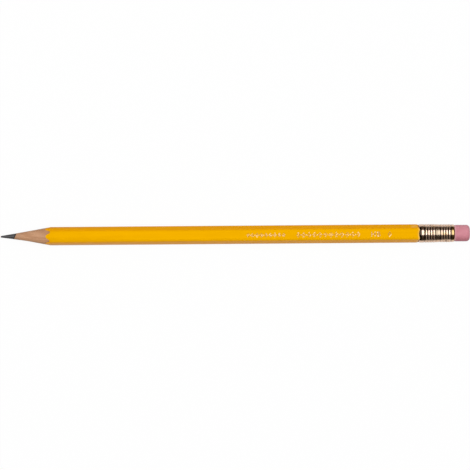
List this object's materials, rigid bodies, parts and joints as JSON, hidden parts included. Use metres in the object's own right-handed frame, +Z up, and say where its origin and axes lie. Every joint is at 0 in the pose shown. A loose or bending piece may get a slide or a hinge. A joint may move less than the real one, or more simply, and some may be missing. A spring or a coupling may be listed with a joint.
{
  "type": "pencil with eraser",
  "caption": "Sharpened hexagonal wood-cased pencil, lacquered yellow, with a graphite core, a beaded brass ferrule and a pink eraser plug.",
  "frame": {"origin": "on the surface that the pencil lies on, under the middle of its length", "axes": "+X along the pencil from the point to the eraser, +Z up through the upper flat, Y across the corners"},
  "size_m": [0.19, 0.0074, 0.0075],
  "materials": {
    "graphite": "fired graphite and clay, dull metallic sheen",
    "cedar": "bare, cut smooth by the sharpener",
    "glue": "dried wood glue",
    "lacquer": "gloss lacquer in several coats",
    "brass": "bright, rolled beads",
    "rubber": "matte, fine pumice grain"
  },
  "bodies": {
    "root": {"graphite_core": "graphite", "upper_slat": "cedar", "lower_slat": "cedar", "glue_film": "glue", "lacquer_coat": "lacquer", "ferrule": "brass", "eraser": "rubber"}
  },
  "joints": []
}
